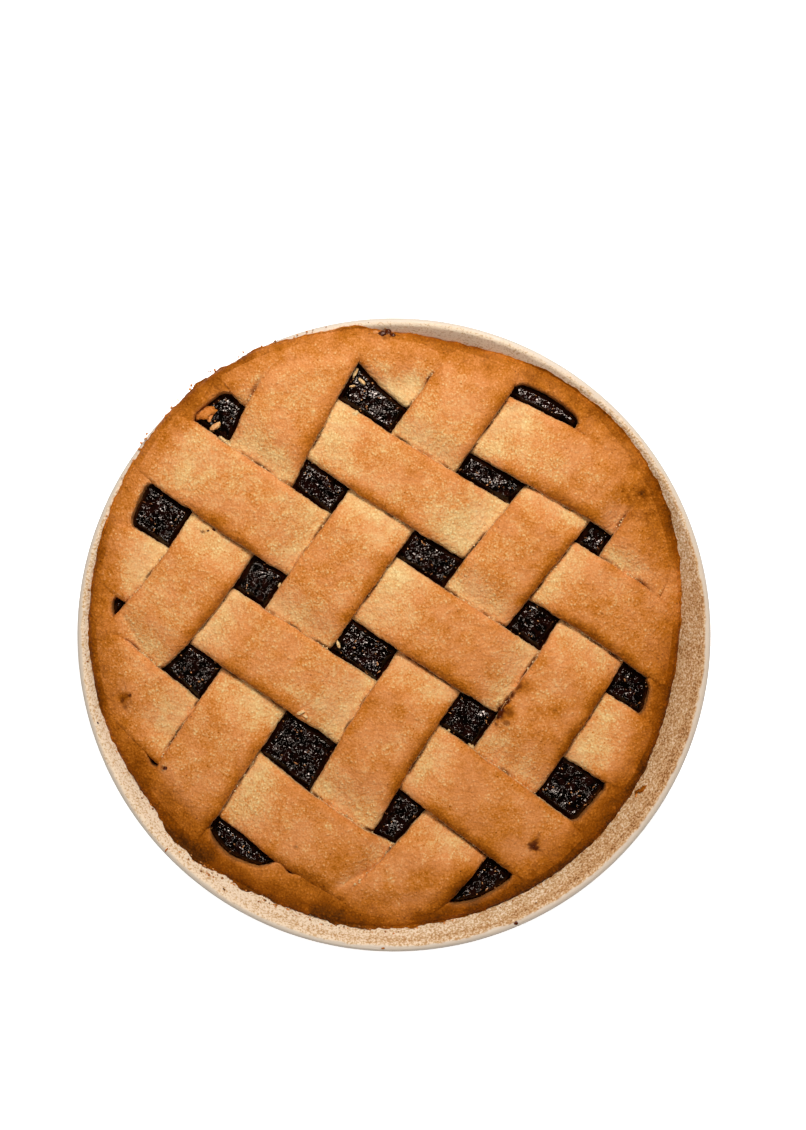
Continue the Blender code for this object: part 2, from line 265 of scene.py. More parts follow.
class Strip:
    """One strip of the lattice: a gently bent band with a width that flares along it."""

    def __init__(self, family, number, values, heading):
        self.name = f"{family}{number}"
        self.family = family
        self.number = number
        self.layer = (number + (10 if family == "b" else 0)) * 0.1
        self.offset, self.lean, self.bow, self.sway, self.width, self.flare = values
        self.along = np.array((math.cos(heading), math.sin(heading)))
        self.across = np.array((-self.along[1], self.along[0]))

    def centre_offset(self, s):
        """Sideways place of the centre line at a distance s along: a cubic."""
        u = s / SPAN
        return (self.offset + self.lean * u + self.bow * u ** 2 + self.sway * u ** 3) * MM

    def half_width(self, s):
        return (self.width + self.flare * s / SPAN) * MM / 2.0

    def place(self, s, q):
        """Plan position at s along and q across, q running from -1 to 1."""
        side = self.centre_offset(s) + q * self.half_width(s)
        return (s * self.along[0] + side * self.across[0],
                s * self.along[1] + side * self.across[1])

    def signed_gap(self, x, y):
        """Distance of a point from the strip's two long edges (left, right), positive outside."""
        s = x * self.along[0] + y * self.along[1]
        side = x * self.across[0] + y * self.across[1] - self.centre_offset(s)
        return side - self.half_width(s), -side - self.half_width(s)

    def past_hidden_end(self, x, y):
        """Distance of a point past the middle of the strip that hides this one's far end."""
        if self.name not in HIDDEN_END:
            return np.full_like(x, -SPAN)
        before, past = way_across(self, BY_NAME[HIDDEN_END[self.name]], x, y)
        return (past - before) / 2.0

    def outside(self, x, y):
        """Distance of a point out of the strip, past its edges or its hidden end."""
        left, right = self.signed_gap(x, y)
        return np.maximum(np.maximum(left, right), self.past_hidden_end(x, y))

    def share_across(self, x, y):
        """How far across the strip a point lies, from -1 to 1 between its edges."""
        left, right = self.signed_gap(x, y)
        return (left - right) / (2.0 * self.half_width(x * self.along[0] + y * self.along[1]))

    def end(self, q, direction, margin):
        """Distances s at which the lines q come to the border's margin or a hidden end, by halving."""
        low = np.zeros_like(q)
        high = np.full_like(q, RIM_RADIUS * direction)
        for _ in range(30):
            middle = (low + high) / 2.0
            x, y = self.place(middle, q)
            inside = (border_gap(x, y) > margin) & (self.past_hidden_end(x, y) < 0.0)
            low, high = np.where(inside, middle, low), np.where(inside, high, middle)
        return low


LATTICE_A = [Strip("a", i, v, HEADING_A) for i, v in enumerate(STRIPS_A, start=1)]
LATTICE_B = [Strip("b", i, v, HEADING_B) for i, v in enumerate(STRIPS_B, start=1)]
LATTICE = LATTICE_A + LATTICE_B
BY_NAME = {strip.name: strip for strip in LATTICE}


def lies_over(strip, other):
    """Strips a lie over b where the numbers add up to an odd number, and a1 over b1's end."""
    first, second = (strip, other) if strip.family == "a" else (other, strip)
    a_over = (first.number + second.number) % 2 == 1 or first.number == second.number == 1
    return a_over == (strip.family == "a")


def eased_step(past, before):
    """0 on one strip and 1 on the next, for the distances of a point from the edges of both."""
    gap = np.maximum(past + before, LEAST_EASE)
    return smoothstep((gap - before + EASE_OVERLAP) / (gap + 2.0 * EASE_OVERLAP))


def end_rise(level, room):
    """Change of level from a last crossing to the border, none where there is no room for it."""
    return (END_LEVEL - level) * smoothstep((room - LEAST_END_ROOM) / LEAST_END_ROOM)


def way_across(strip, other, x, y):
    """Distances of a point before and past another strip, on the way along this one."""
    left, right = other.signed_gap(x, y)
    return (left, right) if strip.family == "a" else (right, left)


def crossed_by(strip):
    """The strips of the other family, in the order in which this one meets them."""
    return LATTICE_B if strip.family == "a" else LATTICE_A


def weave_level(strip, x, y):
    """Level of a strip: 1 over a crossing strip, -1 under it, eased in between and to the ends.

    Near the border every strip is lifted, so that it comes out of the jam.
    """
    crossed = crossed_by(strip)
    levels = [1.0 if lies_over(strip, other) else -1.0 for other in crossed]
    ways = [way_across(strip, other, x, y) for other in crossed]
    wall = np.maximum(border_gap(x, y), 0.0)
    first, last = ways[0][0], ways[-1][1]
    result = levels[0] + eased_step(first, wall) * end_rise(levels[0], first + wall)
    for i in range(len(levels) - 1):
        result = result + eased_step(ways[i][1], ways[i + 1][0]) * (levels[i + 1] - levels[i])
    result = result + eased_step(last, wall) * end_rise(levels[-1], last + wall)
    lifted = -1.0 + 1.25 * smoothstep((LIFT_START - wall) / LIFT_LENGTH)
    return np.maximum(result, lifted)


def overlap_distance(strip, x, y):
    """How far a point of a strip is from the edges of the strips that lie over it."""
    nearest = np.full_like(x, SPAN)
    for other in crossed_by(strip):
        if lies_over(other, strip):
            nearest = np.minimum(nearest, np.abs(np.maximum(*other.signed_gap(x, y))))
    return nearest


def joint(strip, x, y):
    """1 in the crack where a strip goes under another, down a bell curve to 0 in a millimetre.

    The crack wanders and closes here and there, and is shut at the border.
    """
    p = flat_points(x, y, strip.layer + 3.0)
    wander = 0.25 * MM * noise(p, 1.5 * MM, 81)
    away = (overlap_distance(strip, x, y) + wander - 0.35 * MM) / (0.45 * MM)
    open_part = smoothstep(0.45 + 1.3 * noise(p, 5.0 * MM, 82))
    return np.exp(-away ** 2) * open_part * smoothstep(border_gap(x, y) / (7.0 * MM))


def strip_top(strip, x, y, q, thickness):
    """Top of a strip: its level, a slight crown across, round shoulders, and its dough's swells.

    At its ends it runs into the border's own surface and sinks a little below it further out.
    """
    s = x * strip.along[0] + y * strip.along[1]
    half = strip.half_width(s)
    inset = SHOULDER_WIDTH / half
    round_off = np.clip((np.abs(q) - 1.0 + inset) / inset, 0.0, 1.0)
    shoulder = SHOULDER_DROP * (1.0 - np.sqrt(np.maximum(1.0 - round_off ** 2, 0.0)))
    level = weave_level(strip, x, y)
    body = (top_height(x, y) + level * WEAVE_RISE + thickness / 2.0
            + STRIP_CROWN * (1.0 - q ** 2) - shoulder + relief(x, y, strip.layer)
            - CRACK_DEPTH * joint(strip, x, y))
    gap = border_gap(x, y)
    merged = smoothstep((MERGE_START - gap) / MERGE_LENGTH)
    proud = END_HEIGHT - END_DROP * smoothstep(-gap / END_LENGTH)
    return body * (1.0 - merged) + (border_surface(x, y) + proud - shoulder) * merged, level, merged


def open_distance(x, y):
    """How far a point is from the nearest strip or the border, positive where jam shows."""
    nearest = border_gap(x, y)
    for strip in LATTICE:
        nearest = np.minimum(nearest, strip.outside(x, y))
    return nearest


def jam_surface(x, y):
    """Top of the jam: level under the lattice, swollen in the openings, with lumps of fruit."""
    swell = JAM_SWELL * smoothstep(open_distance(x, y) / JAM_SWELL_WIDTH + 0.25)
    p = flat_points(x, y, 0.3)
    lumps = (0.60 * noise(p, 4.2 * MM, 11) + 0.30 * (1.0 - 2.0 * np.abs(noise(p, 2.3 * MM, 12)))
             + 0.14 * noise(p, 1.2 * MM, 13))
    return top_height(x, y) - JAM_DEPTH + swell + lumps * MM


def upper_surface(x, y, thickness):
    """Height of whatever lies on top: the dish's wall, the border, the jam or a strip."""
    radius = np.hypot(x, y)
    height = np.where(border_gap(x, y) > 0.0, jam_surface(x, y), border_surface(x, y))
    height = np.where(radius > crust_edge(np.arctan2(y, x)), seat_height(radius), height)
    for strip in LATTICE:
        top, _, _ = strip_top(strip, x, y, strip.share_across(x, y), thickness)
        on_strip = (strip.outside(x, y) < 0.0) & (border_gap(x, y) > 0.0)
        height = np.where(on_strip, np.maximum(height, top), height)
    return height


# ---------------------------------------------------------------- browning

# darker and paler places on the crust: x, y, radius in mm, and how much browner
BROWN_SPOTS = (
    (88.5, 53.5, 5.0, 0.30), (94.8, 53.0, 3.6, 0.18), (-101.3, -23.4, 4.0, 0.30),
    (53.5, -80.2, 3.4, 0.26), (60.8, -28.9, 2.6, 0.16), (49.5, -20.5, 4.5, 0.24),
    (43.0, -29.5, 3.2, 0.34), (76.5, 8.0, 2.0, 0.18), (17.0, -104.5, 5.0, 0.12),
    (-20.0, -107.0, 6.0, 0.12), (0.0, 102.0, 10.0, 0.16), (86.0, 47.0, 10.0, 0.12),
    (-12.9, -62.4, 9.0, 0.13), (19.3, -81.3, 7.0, -0.12), (-1.5, -39.7, 9.0, -0.13),
    (22.0, 88.0, 9.0, 0.06), (-18.5, 34.0, 10.0, -0.09), (62.7, -20.8, 8.0, -0.07),
    (-63.9, 58.6, 10.0, -0.08), (106.2, 13.2, 8.0, -0.10), (-109.2, 28.4, 8.0, 0.06),
)
# where the border is browner or paler: angle and half-spread in degrees, and how much browner
BORDER_BROWNING = ((128, 32, 0.13), (168, 26, 0.08), (212, 30, 0.11), (275, 26, -0.09),
                   (317, 28, 0.06), (347, 16, 0.03), (8, 16, -0.10), (58, 22, 0.05))


def brown_spots(x, y):
    """Sum of soft round spots, each a bell curve of its own radius, broken up by noise."""
    total = np.zeros_like(x)
    for cx, cy, radius, depth in BROWN_SPOTS:
        away = ((x - cx * MM) ** 2 + (y - cy * MM) ** 2) / (radius * MM) ** 2
        total = total + depth * np.exp(-1.2 * away)
    return total * (0.75 + 0.5 * noise(flat_points(x, y), 1.6 * MM, 41))


# drops of jam baked onto the crust and the wall: x, y, half-length and half-width in mm, heading
JAM_DROPS = (
    (-4.6, 113.8, 1.6, 1.2, 10), (-2.4, 114.4, 1.5, 1.3, 60), (-0.5, 113.4, 1.2, 0.9, 150),
    (40.6, -30.4, 2.0, 1.2, 75), (-86.6, -50.4, 0.9, 0.7, 30), (53.3, -80.4, 0.8, 0.4, 65),
    (46.1, -108.9, 0.9, 0.7, 20), (54.1, -102.1, 0.6, 0.5, 0), (20.8, -108.8, 0.6, 0.5, 0),
    (-64.6, -96.8, 0.9, 0.6, 120), (-112.3, -33.3, 0.6, 0.5, 0), (-68.3, 39.8, 0.8, 0.5, 150),
    (-70.4, 39.4, 0.6, 0.4, 20), (43.2, -26.0, 2.8, 0.5, 53),
)
# stains of jam in the crust: x, y, half-length and half-width in mm, heading in degrees, and depth
JAM_STAINS = (
    (46.4, -21.2, 2.6, 0.8, 54, 0.8), (43.4, -25.3, 2.8, 1.0, 54, 1.0), (40.5, -30.0, 2.8, 1.7, 75, 1.0),
    (42.1, -33.4, 2.2, 0.8, 150, 0.6), (44.0, -29.4, 1.5, 1.2, 30, 0.3), (-2.6, 114.0, 3.4, 1.6, 0, 0.5),
    (-86.6, -50.4, 1.4, 1.1, 30, 0.6), (-37.4, -80.6, 1.2, 0.8, 10, 0.6), (53.4, -79.8, 2.6, 0.8, 66, 0.9),
    (53.0, -80.8, 1.7, 0.9, 150, 1.0), (-101.3, -21.6, 2.4, 1.1, 78, 0.15),
    (-101.0, -25.6, 1.8, 1.3, 20, 0.2), (-102.6, -24.4, 0.8, 0.6, 0, 1.0), (-99.9, -22.8, 0.7, 0.6, 0, 1.0),
    (-101.5, -27.4, 0.6, 0.4, 30, 0.7), (-101.2, -20.0, 0.5, 0.4, 0, 0.7), (79.4, -2.3, 0.9, 0.4, 40, 0.8),
    (61.0, -28.8, 1.2, 0.6, 20, 0.35), (79.0, 7.9, 0.5, 0.5, 0, 0.7), (-72.4, 39.0, 0.5, 0.4, 0, 0.9),
)


def jam_stains(x, y):
    """Stains from 0 to 1 where jam baked on: ovals with edges frayed by noise."""
    frayed = mixed_noise(flat_points(x, y), (0.9, 1.5, 42), (0.5, 0.7, 43))
    total = np.zeros_like(x)
    for cx, cy, long, wide, heading, depth in JAM_STAINS:
        turn = math.radians(heading)
        away_x, away_y = x - cx * MM, y - cy * MM
        along = (away_x * math.cos(turn) + away_y * math.sin(turn)) / (long * MM)
        across = (away_y * math.cos(turn) - away_x * math.sin(turn)) / (wide * MM)
        total = np.maximum(total, depth * smoothstep((1.6 - np.hypot(along, across) - frayed) / 1.2))
    return total


def mottle(x, y, layer=0.0):
    """Patches of uneven browning, broad and small, and a slow change across the whole tart, darker towards
    +x and -y.
    """
    patches = mixed_noise(flat_points(x, y, layer), (0.07, 21, 21), (0.05, 8, 22), (0.035, 3, 23))
    return patches + 0.07 * (0.5 * x - 0.9 * y) / SPAN


def border_bake(x, y):
    """Browning of the border: golden by the jam, dark brown towards its outer edge."""
    angle = np.arctan2(y, x)
    distance = crust_edge(angle) - np.hypot(x, y)
    outer = smoothstep(1.0 - distance / (13.0 * MM))
    rim = np.exp(-np.maximum(distance, 0.0) / (1.0 * MM))
    return (0.58 + 0.20 * outer + 0.06 * rim + swells(angle, BORDER_BROWNING)
            + mottle(x, y) * 1.6 + brown_spots(x, y))


def strip_bake(strip, x, y, q, level, merged):
    """Browning of a strip: brown on its high middle and shoulders, pale where it dips, with painted shade
    on the shoulder away from the light and a painted contact shadow beside strips that lie over it.
    """
    high = (level + 1.0) / 2.0
    # the shoulder on the side away from the light (a strips' right, b strips' left) is browned more: partly
    # browning, partly painted shade
    side = q if strip.family == "a" else -q
    shoulder = 0.3 * smoothstep((np.abs(q) - 0.62) / 0.38) + smoothstep((side - 0.5) / 0.45)
    seam = np.exp(-((1.0 - np.abs(q)) / 0.07) ** 2) * (0.6 + 0.6 * noise(flat_points(x, y), 3 * MM, 24))
    body = (0.17 + 0.27 * high + 0.20 * shoulder * high
            + mottle(x, y, strip.layer) * 1.1 + brown_spots(x, y))
    near = smoothstep(1.0 - (edge_radius(np.arctan2(y, x)) - np.hypot(x, y)) / (26.0 * MM))
    # painted contact shadow: the lower strip is darker next to the edge of a strip that lies over it
    painted_contact_shadow = np.exp(-overlap_distance(strip, x, y) / (1.6 * MM))
    body = body + 0.10 * near + 0.16 * painted_contact_shadow
    return body * (1.0 - 0.7 * merged) + (border_bake(x, y) * 0.7 + 0.20 * seam) * merged


# ---------------------------------------------------------------- mesh making

def grid_quads(rows, columns, wrap_rows=False, wrap_columns=False):
    """Corner numbers of the quads between the points of a grid, row after row."""
    i = np.arange(rows if wrap_rows else rows - 1)[:, None]
    j = np.arange(columns if wrap_columns else columns - 1)[None, :]
    a, b = (i + 1) % rows, (j + 1) % columns
    quads = np.stack(np.broadcast_arrays(
        i * columns + j, a * columns + j, a * columns + b, i * columns + b), axis=-1)
    return quads.reshape(-1, 4)


def fan(ring, middle):
    """Triangles from a ring of points to one in the middle."""
    ring = np.asarray(ring)
    return np.stack((ring, np.roll(ring, -1), np.full_like(ring, middle)), axis=-1)


def new_piece(name, points, quads, triangles, finish, attributes):
    """A mesh object from arrays of points, quads and triangles.

    Each attribute is a number for each point; points past the end of its list get 0.
    """
    mesh = bpy.data.meshes.new(name)
    points = np.asarray(points, dtype=np.float32).reshape(-1, 3)
    quads = np.asarray(quads, dtype=np.int32).reshape(-1, 4)
    triangles = np.asarray(triangles, dtype=np.int32).reshape(-1, 3)
    corners = np.concatenate((quads.ravel(), triangles.ravel()))
    starts = np.concatenate((np.arange(len(quads)) * 4,
                             quads.size + np.arange(len(triangles)) * 3)).astype(np.int32)
    mesh.vertices.add(len(points))
    mesh.vertices.foreach_set("co", points.ravel())
    mesh.loops.add(len(corners))
    mesh.loops.foreach_set("vertex_index", corners)
    mesh.polygons.add(len(starts))
    mesh.polygons.foreach_set("loop_start", starts)
    mesh.update(calc_edges=True)
    mesh.validate()
    for key, values in attributes.items():
        padded = np.zeros(len(points), dtype=np.float32)
        padded[:np.size(values)] = np.ravel(values)
        mesh.attributes.new(key, "FLOAT", "POINT").data.foreach_set("value", padded)
    mesh.shade_smooth()
    mesh.materials.append(finish)
    piece = bpy.data.objects.new(name, mesh)
    bpy.context.scene.collection.objects.link(piece)
    return piece


def turned_piece(name, radius, height, finish, attributes):
    """A closed turned shape from grids of radius and height, one row for each angle."""
    steps, columns = radius.shape
    x, y = plan(radius, circle_angles(steps))
    grid = np.stack((x, y, height), axis=-1).reshape(-1, 3)
    poles = np.array(((0.0, 0.0, height[:, 0].mean()), (0.0, 0.0, height[:, -1].mean())))
    first = np.arange(steps) * columns
    triangles = np.concatenate((fan(first[::-1], len(grid)),
                                fan(first + columns - 1, len(grid) + 1)))
    return new_piece(name, np.concatenate((grid, poles)), grid_quads(steps, columns, wrap_rows=True),
                     triangles, finish, attributes)


# ---------------------------------------------------------------- materials

def linear(hex_code):
    """Linear colour of an sRGB hex value: the usual power curve with its straight foot."""
    parts = [int(hex_code[i:i + 2], 16) / 255.0 for i in (1, 3, 5)]
    return tuple(p / 12.92 if p <= 0.04045 else ((p + 0.055) / 1.055) ** 2.4 for p in parts) + (1.0,)


def set_sockets(tree, node, sockets):
    """Link or set the inputs of a node, each by its name or number."""
    for key, value in sockets.items():
        if isinstance(value, bpy.types.NodeSocket):
            tree.links.new(value, node.inputs[key])
        else:
            node.inputs[key].default_value = value


def add_node(tree, kind, sockets, result=0, **settings):
    """Add a shader node with its inputs and settings, and give the output that is used."""
    made = tree.nodes.new("ShaderNode" + kind)
    for key, value in settings.items():
        setattr(made, key, value)
    set_sockets(tree, made, sockets)
    return made.outputs[result]


def attribute(tree, name):
    """A number that the points of a mesh carry."""
    return add_node(tree, "Attribute", {}, "Fac", attribute_name=name)


def cloud(tree, place, scale, detail, roughness=0.5, distortion=0.0):
    """Noise texture with features 1 / scale metres wide, and finer ones down to its detail."""
    return add_node(tree, "TexNoise", {"Vector": place, "Scale": scale, "Detail": detail,
                                       "Roughness": roughness, "Distortion": distortion}, "Fac")


def remap(tree, value, low, high, start, stop):
    """The range low to high of a value stretched onto start to stop, and held flat outside it."""
    return add_node(tree, "MapRange", {"Value": value, "From Min": low, "From Max": high,
                                       "To Min": start, "To Max": stop})


def blend(tree, share, first, second):
    """Two colours mixed: the Mix node has its colours at inputs 6 and 7 and output 2."""
    return add_node(tree, "Mix", {0: share, 6: first, 7: second}, 2, data_type="RGBA")


def ramp(tree, value, stops):
    """A colour ramp over a value, from stops of a place and a colour."""
    colour_of = add_node(tree, "ValToRGB", {"Fac": value}, "Color")
    elements = colour_of.node.color_ramp.elements
    elements[0].position, elements[0].color = stops[0]
    elements[1].position, elements[1].color = stops[-1]
    for place, tint in stops[1:-1]:
        elements.new(place).color = tint
    return colour_of


def bumps(tree, height, distance, sockets, **settings):
    """A surface normal that follows a texture's height over a distance in mm."""
    return add_node(tree, "Bump", {"Height": height, "Distance": distance * MM, **sockets},
                    **settings)


def new_material(name):
    """An empty node material and its Principled shader."""
    made = bpy.data.materials.new(name)
    made.use_nodes = True
    return made, made.node_tree, made.node_tree.nodes["Principled BSDF"]


def shortcrust_material(colours):
    """Baked shortcrust: egg-washed flour dough, browned by the oven.

    Blisters about a millimetre wide, paler than the browned skin (their pale tops, and those of the raised
    grain, are partly painted highlight), and fine dark pores cover it;
    where it is cut, the pale crumb shows and is quite matt, with painted shade in the hollows of its grain,
    and jam has soaked into its foot.
    """
    made, tree, shader = new_material("Baked shortcrust")
    place = add_node(tree, "TexCoord", {}, "Object")
    bake = attribute(tree, "bake")
    grains = cloud(tree, place, 1450.0, 1.5, roughness=0.6)
    patches = cloud(tree, place, 210.0, 4.0, roughness=0.6)
    flush = cloud(tree, place, 110.0, 3.0)
    blisters_and_painted_glints = add_node(tree, "TexVoronoi", {"Vector": place, "Scale": 700.0}, "Distance")
    pores = add_node(tree, "TexVoronoi", {"Vector": place, "Scale": 290.0}, "Distance")
    # the raised tops of the grain and of the blisters are painted paler: partly the dough's own tone,
    # partly painted highlight
    shifts = (remap(tree, grains, 0.3, 0.7, 0.13, -0.13), remap(tree, patches, 0.3, 0.7, 0.10, -0.10),
              remap(tree, blisters_and_painted_glints, 0.0, 0.38, -0.26, 0.03), remap(tree, pores, 0.05, 0.11, 0.30, 0.0))
    calm = remap(tree, bake, 0.45, 0.8, 1.0, 0.45)
    total = bake
    for shift in shifts:
        total = add_node(tree, "Math", {0: shift, 1: calm, 2: total}, operation="MULTIPLY_ADD")
    browned = ramp(tree, total, (
        (0.0, colours.raw_crust), (0.20, colours.pale_crust), (0.45, colours.golden_crust),
        (0.64, colours.brown_crust), (0.82, colours.dark_crust), (1.0, colours.burnt_crust)))
    # the crumb is darker in the hollows of its grain, as painted shade
    crumb = ramp(tree, grains, ((0.35, colours.crumb_painted_shade), (0.62, colours.crumb)))
    flushed = add_node(tree, "Math", {0: remap(tree, flush, 0.42, 0.62, 0.0, 0.38),
                                      1: remap(tree, bake, 0.45, 0.75, 1.0, 0.0)},
                       operation="MULTIPLY")
    washed = blend(tree, flushed, browned, colours.rosy_crust)
    skin = blend(tree, attribute(tree, "cut"), washed, crumb)
    blisters = bumps(tree, blisters_and_painted_glints, 0.34, {"Strength": 0.9}, invert=True)
    set_sockets(tree, shader, {
        "Base Color": blend(tree, attribute(tree, "stain"), skin, colours.jam_thin),
        "Roughness": remap(tree, patches, 0.3, 0.7, 0.42, 0.62),
        "Normal": bumps(tree, grains, 0.34, {"Strength": 0.9, "Normal": blisters}),
        "Specular IOR Level": 0.18, "Specular Tint": colours.butter_sheen})
    return made


def jam_material(colours):
    """Fig jam, boiled down and baked: nearly black in depth, red-brown where it lies thin.

    It is wet, so its small wrinkles throw sharp white glints.
    """
    made, tree, shader = new_material("Baked fig jam")
    place = add_node(tree, "TexCoord", {}, "Object")
    fruit = cloud(tree, place, 330.0, 3.0)
    wrinkles = cloud(tree, place, 420.0, 0.0, distortion=1.2)
    ripples = cloud(tree, place, 1000.0, 0.0, distortion=0.6)
    depth = ramp(tree, fruit, ((0.45, colours.jam), (0.72, colours.jam_fruit)))
    wrinkled = bumps(tree, wrinkles, 0.42, {"Strength": 1.0})
    set_sockets(tree, shader, {
        "Base Color": blend(tree, attribute(tree, "thin"), depth, colours.jam_thin),
        "Normal": bumps(tree, ripples, 0.24, {"Strength": 1.0, "Normal": wrinkled}),
        "Roughness": 0.05, "Specular IOR Level": 0.4, "Specular Tint": colours.jam_sheen})
    return made


def seed_material(colours):
    """Fig seeds: hard golden grains, wet with jam."""
    made, tree, shader = new_material("Fig seed")
    tone = ramp(tree, attribute(tree, "tone"), ((0.0, colours.seed_dark), (1.0, colours.seed)))
    set_sockets(tree, shader, {"Base Color": tone, "Roughness": 0.25})
    return made


def stoneware_material(colours):
    """Cream-glazed stoneware, with butter and flour baked on inside.

    The bare glaze is smooth and glossy; the flour is a matt, sandy crust of millimetre grains
    that has caught colour, paler on the far side as painted light, and butter has run into a brown line
    under the lip.
    """
    made, tree, shader = new_material("Cream-glazed stoneware")
    place = add_node(tree, "TexCoord", {}, "Object")
    flour = attribute(tree, "flour")
    sand = cloud(tree, place, 1250.0, 2.0, roughness=0.6)
    smears = cloud(tree, place, 160.0, 4.0)
    shade = remap(tree, sand, 0.36, 0.64, 0.34, -0.34)
    # the wall's toasting, which also carries painted light that makes the far side paler
    for shift in (remap(tree, smears, 0.3, 0.7, 0.09, -0.09), attribute(tree, "toasting_and_painted_light")):
        shade = add_node(tree, "Math", {0: shade, 1: shift}, operation="ADD")
    floury = ramp(tree, shade, ((0.05, colours.flour), (0.42, colours.flour_toasted),
                                (0.72, colours.butter), (1.0, colours.butter_dark)))
    glaze = blend(tree, attribute(tree, "edge"), colours.glaze, colours.glaze_edge)
    strength = remap(tree, flour, 0.0, 1.0, 0.04, 0.9)
    set_sockets(tree, shader, {
        "Base Color": blend(tree, flour, glaze, floury),
        "Roughness": remap(tree, flour, 0.0, 1.0, 0.28, 0.8),
        "Normal": bumps(tree, sand, 0.30, {"Strength": strength}), "Specular IOR Level": 0.35})
    return made


# ---------------------------------------------------------------- settings

def colour(name, hex_code, description):
    return FloatVectorProperty(name=name, description=description, subtype="COLOR", size=4,
                               min=0.0, max=1.0, default=linear(hex_code))


def length(name, millimetres, description):
    return FloatProperty(name=name, description=description, subtype="DISTANCE", unit="LENGTH",
                         default=millimetres * MM)


class TartSizes(PropertyGroup):
    strip_thickness: length("Strip thickness", 4.0, "Thickness of the lattice strips")
    mesh_step: length("Mesh step", 0.55, "Distance between the points of the pastry's surface")
    edge_wobble: length("Edge wobble", 0.35, "Unevenness of the strips' cut edges")
    seed_length: length("Seed length", 1.05, "Length of a fig seed")
    crumb_size: length("Crumb size", 0.55, "Mean radius of a pastry crumb")
    camera_height: length("Camera height", 760.0, "Height of the camera over the table")
    seed_count: IntProperty(name="Seeds", description="Fig seeds tried over the whole jam",
                            default=2400, min=0)
    exposure: FloatProperty(name="Exposure", description="Brightness of white paper on the table",
                            default=1.05, min=0.0)


class TartColours(PropertyGroup):
    raw_crust: colour("Palest crust", "#F4D698", "Crust the oven hardly reached")
    pale_crust: colour("Pale crust", "#E6B878", "Crust in the dips by the crossings")
    golden_crust: colour("Golden crust", "#D68643", "Crust on the strips")
    rosy_crust: colour("Rosy crust", "#E59762", "Crust where the egg wash is thick")
    brown_crust: colour("Brown crust", "#BB6A1A", "Crust on humps and shoulders")
    dark_crust: colour("Dark crust", "#8A4502", "Crust along the border")
    burnt_crust: colour("Darkest crust", "#482003", "Crust at the outer edge and in spots")
    crumb: colour("Crumb", "#F0D3A0", "Inside of the pastry, at cuts")
    # painted shade in the hollows of the crumb
    crumb_painted_shade: colour("Crumb shade", "#C79A5C", "Hollows of the crumb")
    butter_sheen: colour("Butter sheen", "#FFC77F", "Tint of the pastry's soft highlights")
    jam: colour("Jam", "#040201", "Deep jam")
    jam_fruit: colour("Jam fruit", "#220B06", "Lumps of fruit near the surface")
    jam_thin: colour("Thin jam", "#521F07", "Jam where it lies thin")
    jam_sheen: colour("Jam sheen", "#FFEBDD", "Tint of the jam's glints")
    seed: colour("Seed", "#D09058", "Light seeds")
    seed_dark: colour("Dark seed", "#5A2D12", "Seeds covered by jam")
    glaze: colour("Glaze", "#DCC8B2", "Bare glaze")
    glaze_edge: colour("Glaze edge", "#B8AC9F", "Glaze thinned over the rim's edge")
    flour: colour("Flour", "#F1D8BA", "White flour on the wall")
    flour_toasted: colour("Toasted flour", "#D0A777", "Flour that has caught colour")
    butter: colour("Butter", "#B9834E", "Butter baked onto the wall")
    butter_dark: colour("Dark butter", "#7E4D22", "Butter baked brown")
    floor: colour("Floor", "#F4F4F4", "Paper the dish stands on")


# ---------------------------------------------------------------- pieces

